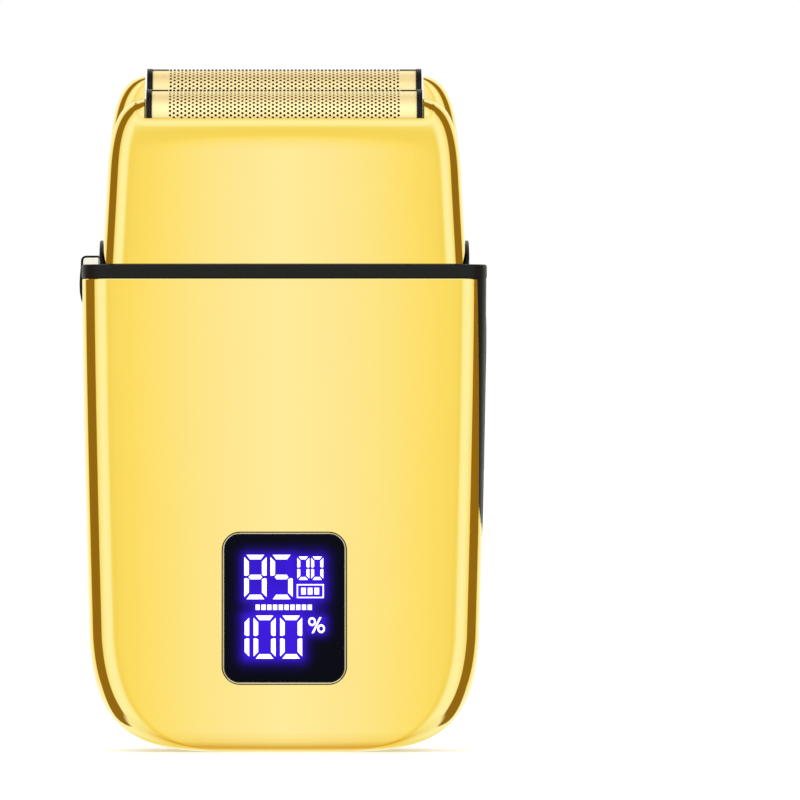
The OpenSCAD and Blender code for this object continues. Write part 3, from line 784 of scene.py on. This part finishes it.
# Strength of the light round each block, and the reach of its core and of its haze
GLOW = {"rate": (0.62, 1.0, 1.5), "rest": (0.75, 0.8, 1.6), "box": (0.8, 0.8, 1.5), "row": (0.5, 1.0, 2.4),
        "charge": (0.7, 1.0, 1.6), "percent": (0.6, 0.9, 1.3)}
GLOW_INSET = 0.6


def glow_at(u, v):
    """Strength of the violet light round the figures."""
    light = 0
    for block, (left, right, low, high) in BLOCKS.items():
        strength, core, reach = GLOW[block]
        away = math.hypot(max(left + GLOW_INSET - u, u - right + GLOW_INSET, 0),
                          max(low + GLOW_INSET - v, v - high + GLOW_INSET, 0))
        light += strength * (0.55 * math.exp(-(away / core) ** 2) + 0.45 * math.exp(-(away / reach) ** 2))
    return min(light, 1.0)


def display_face():
    """Front skin of the window: a fine grid that carries the glow as an attribute."""
    rows, columns, inset, corner = 170, 150, 0.12, 2.6
    half_w, half_h = LENS_W / 2 - inset, LENS_H / 2 - inset
    points, glow = [], []
    for i in range(rows):
        v = -half_h + 2 * half_h * i / (rows - 1)
        over = max(abs(v) - (half_h - corner), 0)
        reach = half_w - corner + math.sqrt(max(corner ** 2 - over ** 2, 0.0))
        for j in range(columns):
            u = -reach + 2 * reach * j / (columns - 1)
            points.append((u, LENS_LOW[1] + 0.03, DISPLAY_Z + v))
            glow.append(glow_at(u, v))
    mesh = bpy.data.meshes.new("display_face")
    mesh.from_pydata([tuple(c * MM for c in p) for p in points], [], grid_faces(rows, columns))
    layer = mesh.attributes.new("glow", "FLOAT", "POINT")
    layer.data.foreach_set("value", glow)
    piece = add_object("display_face", mesh)
    skin = piece.modifiers.new("skin", "SOLIDIFY")
    skin.thickness = 0.05 * MM
    skin.offset = -1
    apply_modifiers(piece)
    return piece


def display_material():
    made = material("display_glass", (0.002, 0.002, 0.005), roughness=0.12, spread=0.03, tint=0.1,
                    specular=0.02)
    nodes, links = made.node_tree.nodes, made.node_tree.links
    glow = nodes.new("ShaderNodeAttribute")
    glow.attribute_name = "glow"
    links.new(glow.outputs["Fac"], nodes["Principled BSDF"].inputs["Emission Strength"])
    return shines(made, (0.06, 0.012, 1.0))


dress(display_face(), display_material(), "display_lens", replaces=False)

SEGMENTS = {"0": "abcdef", "1": "bc", "5": "acdfg", "8": "abcdefg"}


def segment_polygons(figure, left, low, width, height, s, g):
    """Outlines of a seven-segment figure with stroke s and gap g: each bar tapers where it meets the next."""
    right, high, mid = left + width, low + height, low + height / 2
    shapes = {
        "a": [(left + g + 0.25 * s, high), (right - g - 0.25 * s, high), (right - s - g, high - s),
              (left + s + g, high - s)],
        "d": [(left + s + g, low + s), (right - s - g, low + s), (right - g - 0.25 * s, low),
              (left + g + 0.25 * s, low)],
        "g": [(left + 0.7 * s + g, mid), (left + 1.1 * s + g, mid + s / 2),
              (right - 1.1 * s - g, mid + s / 2), (right - 0.7 * s - g, mid),
              (right - 1.1 * s - g, mid - s / 2), (left + 1.1 * s + g, mid - s / 2)],
        "f": [(left, high - 0.5 * s), (left + s, high - 1.25 * s - g), (left + s, mid + 0.5 * s),
              (left + 0.45 * s, mid + g), (left, mid + 0.35 * s)],
        "e": [(left, low + 0.5 * s), (left, mid - 0.35 * s), (left + 0.45 * s, mid - g),
              (left + s, mid - 0.5 * s), (left + s, low + 1.25 * s + g)],
    }
    flip = {"b": "f", "c": "e"}
    for name, source in flip.items():
        shapes[name] = [(left + right - u, v) for u, v in shapes[source]][::-1]
    return [shapes[name] for name in SEGMENTS[figure]]


def ring_polygons(cu, cv, outer=0.66, inner=0.36):
    """Ring of the percent sign split into quads, so that it can be drawn as flat bars."""
    shapes, steps = [], 20
    for i in range(steps):
        t0, t1 = 2 * math.pi * i / steps, 2 * math.pi * (i + 1) / steps
        shapes.append([(cu + r * math.cos(t), cv + r * math.sin(t) * 1.15)
                       for r, t in ((inner, t0), (outer, t0), (outer, t1), (inner, t1))])
    return shapes


def rect(left, right, low, high):
    return [(left, low), (right, low), (right, high), (left, high)]


# Figure, its block, its left edge from the block's, its width, stroke and gap
DIGITS = [("8", "rate", 0, 3.84, 0.78, 0.2), ("5", "rate", 4.53, 3.84, 0.78, 0.2),
          ("0", "rest", 0, 2.08, 0.5, 0.12), ("0", "rest", 2.4, 2.08, 0.5, 0.12),
          ("1", "charge", -3.0, 3.84, 0.78, 0.2), ("0", "charge", 1.61, 3.8, 0.78, 0.2),
          ("0", "charge", 6.2, 3.8, 0.78, 0.2)]
figures = []
for figure, block, along, width, stroke, gap in DIGITS:
    left, right, low, high = BLOCKS[block]
    figures += segment_polygons(figure, left + along, low, width, high - low, stroke, gap)
left, right, low, high = BLOCKS["box"]
line = 0.2
figures += [rect(left, right, low, low + line), rect(left, right, high - line, high),
            rect(left, left + line, low + line, high - line),
            rect(right - line, right, low + line, high - line)]
figures += [rect(left + 0.75 + 1.15 * i, left + 1.55 + 1.15 * i, low + 0.62, high - 0.62) for i in range(3)]
left, right, low, high = BLOCKS["row"]
figures += [rect(left + 1.0 * i, left + 1.0 * i + 0.72, low + 0.12, high - 0.12) for i in range(10)]
left, right, low, high = BLOCKS["percent"]
figures += ring_polygons(left + 0.68, high - 0.78) + ring_polygons(right - 0.68, low + 0.78)
figures += [[(left + 0.62, low), (left + 0.98, low), (right - 0.62, high), (right - 0.98, high)]]
points, faces = [], []
for shape in figures:
    start, size = len(points), len(shape)
    for level in (0.0, 0.05):
        points += [(u, LENS_LOW[1] + 0.05 - level, DISPLAY_Z + v) for u, v in shape]
    faces += tube_faces(2, size, start)
LIT = shines(material("lit_figures", (0.9, 0.88, 0.95), roughness=0.4, tint=0.02), (0.86, 0.8, 1.0), 0.75)
dress(make_object("display_figures", points, faces, 20), LIT, "display_module", replaces=False)


# ---- head ----

EAR_IN = 24.25
SLOT_Y = 9.5
STRIP = 0.8
LIPS = {"front": 109.9, "rear": 113.9}
SLOT_DEEP = 6.9
LEAN_RISE = 1.6
HOLLOW_UNDER_LIP, REAR_HOLLOW_TOP = 2.5, 104
BEYOND = 140   # past the head in every direction


def smooth_step(low, high, value):
    t = min(max((value - low) / (high - low), 0), 1)
    return t * t * (3 - 2 * t)


def lip_roll(points, lip):
    """Leans the top of the broad front face back just below its lip."""
    rolled = []
    for x, y, z in points:
        if y < 0:
            lean = max((z - lip + LEAN_RISE) / LEAN_RISE, 0) ** 2.6 * (1 - smooth_step(24.3, 26, abs(x)))
            y += 0.3 * min(lean, 1.2)
        rolled.append((x, y, z))
    return rolled


def ear_ring(a, b, r, z):
    """Rear half of the head's outline; its front corners swell with height, so the ears look cushioned."""
    count = 22
    front_r = 0.25 + 2.7 * smooth_step(90, 111, z)

    def back_corner(t):
        x = a - r + r * math.sin(t)
        return x, (b - r + r * math.cos(t)) * (1 - CROWN * (x / a) ** 2)

    face = np.array([(x, b * (1 - CROWN * (x / a) ** 2)) for x in np.linspace(0, a - r, count)])
    back = np.array([back_corner(t) for t in np.linspace(0, math.pi / 2, count)[1:]])
    front = np.array([(a - front_r + front_r * math.cos(t), STRIP + front_r - front_r * math.sin(t))
                      for t in np.linspace(0, math.pi / 2, count)])
    right = np.vstack([face, back, front])
    return np.vstack([right, (right[::-1] * [-1, 1])[:-1]])


def head_shell(which, ear):
    """One half of the head's cover, hollow, with the slot and the mouth for its foil."""
    lip, front = LIPS[which], which == "front"
    outer = closed_loft("head_" + which + "_cover", head_levels(ear, 60), ring_of(60) if front else ear_ring)
    top = lip - HOLLOW_UNDER_LIP if front else REAR_HOLLOW_TOP
    if front:
        places = [tuple(c / MM for c in v.co) for v in outer.data.vertices]
        for vertex, moved in zip(outer.data.vertices, lip_roll(places, lip)):
            vertex.co = [c * MM for c in moved]
    inner = closed_loft("head_hollow", [(a - WALL, b - WALL, r - WALL, z if z > HEAD_Z else z - 1)
                                        for a, b, r, z in head_levels(ear, 20) if z < top], ring_of(40))
    boolean(outer, inner)
    boolean(outer, box_solid("slot", (-EAR_IN, -SLOT_Y, lip - SLOT_DEEP), (EAR_IN, SLOT_Y, BEYOND)))
    boolean(outer, box_solid("mouth", (-EAR_IN, -40, lip), (EAR_IN, 40, BEYOND)))
    if front:
        boolean(outer, box_solid("half", (-60, -40, 0), (60, -STRIP, 160)), "INTERSECT")
    tidy(outer, 32)
    return outer


for which, ear in (("front", FRONT_EAR), ("rear", REAR_EAR)):
    dress(head_shell(which, ear), GOLD, "head_" + which + "_shell")


# ---- foils ----

HOLE_R, HOLE_SIDES = 0.225, 12
COLUMN, COLUMNS = 0.66, 61
PITCH = 0.76
FOIL_SKIRT = 1.3
SHEET = 0.08


def foil_sheet(name, node):
    """Perforated arched sheet: a staggered lattice of cells, each a ring of faces round a true hole."""
    low, high = box_mm(node)
    radius = (high[1] - low[1]) / 2
    cy = (high[1] + low[1]) / 2
    cz = high[2] - radius
    arc = math.pi / 2 * radius
    rows = int((arc + FOIL_SKIRT) / PITCH)
    edge = (rows + 0.5) * PITCH
    half = (high[0] - low[0]) / 2

    def place(x, s):
        t = min(max(s, -arc), arc) / radius
        extra = max(abs(s) - arc, 0)   # below the arch the sheet runs straight down
        return (x, cy + radius * math.sin(t), cz + radius * math.cos(t) - extra)

    index, points, faces = {}, [], []

    def vertex(x, s):
        key = (round(x, 4), round(s, 4))
        if key not in index:
            index[key] = len(points)
            points.append(place(x, s))
        return index[key]

    for column in range(COLUMNS):
        x = (column - (COLUMNS - 1) / 2) * COLUMN
        left, right = x - COLUMN / 2, x + COLUMN / 2
        odd = column % 2
        for row in range(-rows, rows + (0 if odd else 1)):
            s = (row + 0.5 * odd) * PITCH
            border = [(left, s - PITCH / 2), (right, s - PITCH / 2), (right, s), (right, s + PITCH / 2),
                      (left, s + PITCH / 2), (left, s)]
            ring = [vertex(*p) for p in border]
            hole = []
            for i in range(HOLE_SIDES):
                t = math.radians(-120 + 30 * i)
                points.append(place(x + HOLE_R * math.cos(t), s + HOLE_R * math.sin(t)))
                hole.append(len(points) - 1)
            for i in range(6):
                faces.append([ring[i], ring[(i + 1) % 6], hole[(2 * i + 2) % HOLE_SIDES], hole[2 * i + 1],
                              hole[2 * i]])
        if odd:
            for s0, s1 in ((-edge, -edge + PITCH / 2), (edge - PITCH / 2, edge)):
                faces.append([vertex(left, s0), vertex(right, s0), vertex(right, s1), vertex(left, s1)])
    step = PITCH / 2
    border_s = [-edge + step * i for i in range(int(round(2 * edge / step)) + 1)]
    for side in (-1, 1):
        x0, x1 = side * COLUMNS / 2 * COLUMN, side * half
        for s0, s1 in zip(border_s, border_s[1:]):
            faces.append([vertex(x0, s0), vertex(x1, s0), vertex(x1, s1), vertex(x0, s1)])
    leg = high[2] - low[2] - radius
    xs = [-half] + [(column - COLUMNS / 2) * COLUMN for column in range(COLUMNS + 1)] + [half]
    for side in (-1, 1):
        stops = [edge, arc, arc + leg] if edge < arc else [edge, arc + leg]
        for s0, s1 in zip(stops, stops[1:]):
            for x0, x1 in zip(xs, xs[1:]):
                faces.append([vertex(x0, side * s0), vertex(x1, side * s0), vertex(x1, side * s1),
                              vertex(x0, side * s1)])
    sheet = make_object(name, points, faces, 60)
    thick = sheet.modifiers.new("sheet", "SOLIDIFY")
    thick.thickness = SHEET * MM
    thick.offset = -1
    apply_modifiers(sheet)
    tidy(sheet, 50)
    return sheet


def painted_crest_line(which, node):
    """Thin black strip along a foil's crest, a painted dark reflection and shade: solid beside the clips and
    broken over the lattice.
    """
    low, high = box_mm(node)
    cy, top = (high[1] + low[1]) / 2, high[2]
    half, zone = (high[0] - low[0]) / 2, COLUMNS * COLUMN / 2
    runs = [(-half, -zone), (zone, half)]
    runs += [((i - COLUMNS / 2) * COLUMN + 0.14, (i - COLUMNS / 2) * COLUMN + 0.52) for i in range(COLUMNS)]
    points, faces = [], []
    for x0, x1 in runs:
        start = len(points)
        for x in (x0, x1):
            for t in range(8):
                turn = math.radians(45 * t)
                points.append((x, cy - 0.5 + 0.2 * math.cos(turn), top + 0.02 + 0.16 * math.sin(turn)))
        faces += tube_faces(2, 8, start)
    return make_object(which + "_foil_painted_crest_line", points, faces, 60)


for which in ("front", "rear"):
    # Black strip on each crest: a painted dark reflection and shade line
    dress(painted_crest_line(which, which + "_foil"), BLACK, which + "_foil", replaces=False)
    # The cutters take the steel darkened as painted shade
    NODES[which + "_cutter"].data.materials.clear()
    NODES[which + "_cutter"].data.materials.append(SHADED_STEEL)
    dress(foil_sheet(which + "_foil_sheet", which + "_foil"), FOIL_GOLD, which + "_foil")
    dress(softened(which + "_foil_carrier", which + "_carrier", 0.12, 3), BLACK, which + "_foil_carrier")


# ---- drive springs and screws ----

def coil_spring(name, node, turns=6.5, wire=0.2):
    """Helical spring filling its CAD envelope, with closed ends."""
    low, high = box_mm(node)
    cx, cy = (low[0] + high[0]) / 2, (low[1] + high[1]) / 2
    radius = (high[0] - low[0]) / 2 - wire
    points, steps, around = [], int(turns * 28), 10
    for i in range(steps + 1):
        t = i / steps
        turn = 2 * math.pi * turns * t
        rise = low[2] + wire + (high[2] - low[2] - 2 * wire) * (0.06 + 0.88 * t if 0.08 < t < 0.92 else t)
        middle = np.array((cx + radius * math.cos(turn), cy + radius * math.sin(turn), rise))
        out = np.array((math.cos(turn), math.sin(turn), 0))
        for k in range(around):
            a = 2 * math.pi * k / around
            points.append(middle + wire * (math.cos(a) * out + math.sin(a) * np.array((0, 0, 1))))
    return make_object(name, points, tube_faces(steps + 1, around), 60)


for which in ("front", "rear"):
    dress(coil_spring(which + "_spring_coil", which + "_cutter_spring"), STEEL, which + "_cutter_spring")


# ---- floor, light and camera ----

# What reflections see: colour by distance from straight ahead, and what dims it towards the ground
FACE_STOPS = [(0.0, (1.02, 1.06, 1.14)), (0.033, (1.01, 1.0, 0.94)), (0.056, (1.0, 0.98, 0.72)),
              (0.08, (1.0, 0.92, 0.42)), (0.1, (0.93, 0.84, 0.33)), (0.16, (0.93, 0.85, 0.36)),
              (0.32, (1.0, 1.06, 0.95)), (0.52, (1.0, 1.12, 1.21)), (0.72, (1.0, 1.08, 1.1)),
              (0.86, (0.98, 0.93, 0.6)), (0.9, (0.93, 0.82, 0.4))]
DOWN_STOPS = [(0.0, (1, 1, 1)), (0.7, (1, 1, 1)), (0.9, (0.95, 0.88, 0.65)), (0.975, (0.82, 0.66, 0.32)),
              (1.0, (0.7, 0.5, 0.18))]
AMBER, BAND_FROM = (0.296, 0.172, 0.019), 0.893


def studio_world():
    """White to the camera and on matt surfaces. Reflections see a gold-tinted studio with an amber band.

    The band and the tints depend on direction only, and were tuned to the photograph's front view.
    """
    world = bpy.data.worlds.new("studio")
    bpy.context.scene.world = world
    world.use_nodes = True
    nodes, links = world.node_tree.nodes, world.node_tree.links
    nodes.clear()

    def math_node(operation, *inputs, clamp=False):
        made = nodes.new("ShaderNodeMath")
        made.operation = operation
        made.use_clamp = clamp
        for socket, value in zip(made.inputs, inputs):
            if isinstance(value, (int, float)):
                socket.default_value = value
            else:
                links.new(value, socket)
        return made.outputs[0]

    def times(one, two, clamp=False):
        return math_node("MULTIPLY", one, two, clamp=clamp)

    def plus(one, two):
        return math_node("ADD", one, two)

    def minus(one, two, clamp=False):
        return math_node("SUBTRACT", one, two, clamp=clamp)

    def ramp_node(value, stops, peak=1.0):
        made = nodes.new("ShaderNodeValToRGB")
        elements = made.color_ramp.elements
        while len(elements) < len(stops):
            elements.new(0.5)
        for element, (position, colour) in zip(elements, stops):
            element.position = position
        for element, (position, colour) in zip(elements, stops):
            element.color = (*[c / peak for c in colour], 1)
        links.new(value, made.inputs["Fac"])
        return made.outputs["Color"]

    def mix_node(blend, factor, one, two):
        made = nodes.new("ShaderNodeMix")
        made.data_type = "RGBA"
        made.blend_type = blend
        if isinstance(factor, (int, float)):
            made.inputs["Factor"].default_value = factor
        else:
            links.new(factor, made.inputs["Factor"])
        for name, value in (("A", one), ("B", two)):
            if isinstance(value, tuple):
                made.inputs[name].default_value = (*value, 1)
            else:
                links.new(value, made.inputs[name])
        return made.outputs["Result"]

    place = nodes.new("ShaderNodeTexCoord")
    split = nodes.new("ShaderNodeSeparateXYZ")
    links.new(place.outputs["Generated"], split.inputs["Vector"])
    dx, dz = split.outputs["X"], split.outputs["Z"]
    across = times(dx, dx)
    up = math_node("MAXIMUM", minus(times(dz, 1.12), 0.12), 0.0)
    down = math_node("MAXIMUM", times(dz, -1.0), 0.0)
    up_2 = times(up, up)
    back = math_node("MAXIMUM", split.outputs["Y"], 0.0)
    sideways = minus(times(across, 5.0), 0.3, clamp=True)
    under = times(times(back, back), times(minus(down, 0.36), 6.0, clamp=True))
    under = times(under, sideways)
    down_2 = plus(times(times(down, down), 0.68), under)
    face_way = math_node("SQRT", plus(across, up_2))
    edge_way = math_node("SQRT", plus(plus(across, up_2), down_2))
    peak = 1.25
    face = ramp_node(face_way, FACE_STOPS, peak)
    band = times(minus(edge_way, BAND_FROM), 60.0, clamp=True)
    ringed = mix_node("MIX", band, face, tuple(c / peak for c in AMBER))
    shade = ramp_node(down, DOWN_STOPS)
    lit = mix_node("MULTIPLY", 1.0, ringed, shade)
    studio = nodes.new("ShaderNodeBackground")
    studio.inputs["Strength"].default_value = peak
    links.new(lit, studio.inputs["Color"])
    white = nodes.new("ShaderNodeBackground")
    white.inputs["Color"].default_value = (1, 1, 1, 1)
    path = nodes.new("ShaderNodeLightPath")
    plain = math_node("MAXIMUM", path.outputs["Is Camera Ray"], path.outputs["Is Diffuse Ray"])
    mix = nodes.new("ShaderNodeMixShader")
    out = nodes.new("ShaderNodeOutputWorld")
    links.new(plain, mix.inputs["Fac"])
    links.new(studio.outputs[0], mix.inputs[1])
    links.new(white.outputs[0], mix.inputs[2])
    links.new(mix.outputs[0], out.inputs["Surface"])


def soft_light(name, place, aim, size, power):
    data = bpy.data.lights.new(name, "AREA")
    data.size = size
    data.energy = power
    lamp = add_object(name, data)
    lamp.location = place
    lamp.rotation_euler = (Vector(aim) - Vector(place)).to_track_quat("-Z", "Y").to_euler()
    lamp.visible_glossy = False
    return lamp


studio_world()
MIDDLE, LIGHT_SIZE = (0, 0, 0.06), 0.6
soft_light("key", (-0.35, -0.5, 0.55), MIDDLE, LIGHT_SIZE, 1.5)
soft_light("fill", (0.45, -0.4, 0.35), MIDDLE, LIGHT_SIZE, 1.0)


def pale_floor():
    """Plain pale floor, wide enough for its edge to be lost in the white backdrop."""
    reach, steps = 6000, 12
    marks = np.linspace(-reach, reach, steps)
    points = [(x, y, 0.0) for x in marks for y in marks]
    piece = make_object("floor", points, grid_faces(steps, steps), 60)
    look = material("pale_floor", (0.93, 0.93, 0.93), roughness=0.8, spread=0.03, tint=0.004, scale=20)
    piece.data.materials.append(shines(look, (1, 1, 1), 0.25))
    piece.visible_glossy = False


pale_floor()

CAMERA_Y, CAMERA_Z = -1500, 61.1
SHIFT_X = 0.1446    # frames the shaver left of centre, as the photograph does
PX_PER_MM, FRAME_PX = 5.757, 800
SILHOUETTE_Y = -5
SENSOR = 36
camera_data = bpy.data.cameras.new("camera")
camera_data.sensor_width = SENSOR
camera_data.lens = PX_PER_MM * (SILHOUETTE_Y - CAMERA_Y) * SENSOR / FRAME_PX
camera_data.shift_x = SHIFT_X
camera_data.clip_start = 0.01
camera_data.clip_end = 20
camera = add_object("camera", camera_data)
camera.location = (0, CAMERA_Y * MM, CAMERA_Z * MM)
camera.rotation_euler = (math.radians(90), 0, 0)
bpy.context.scene.camera = camera
bpy.context.scene.view_settings.view_transform = "Standard"
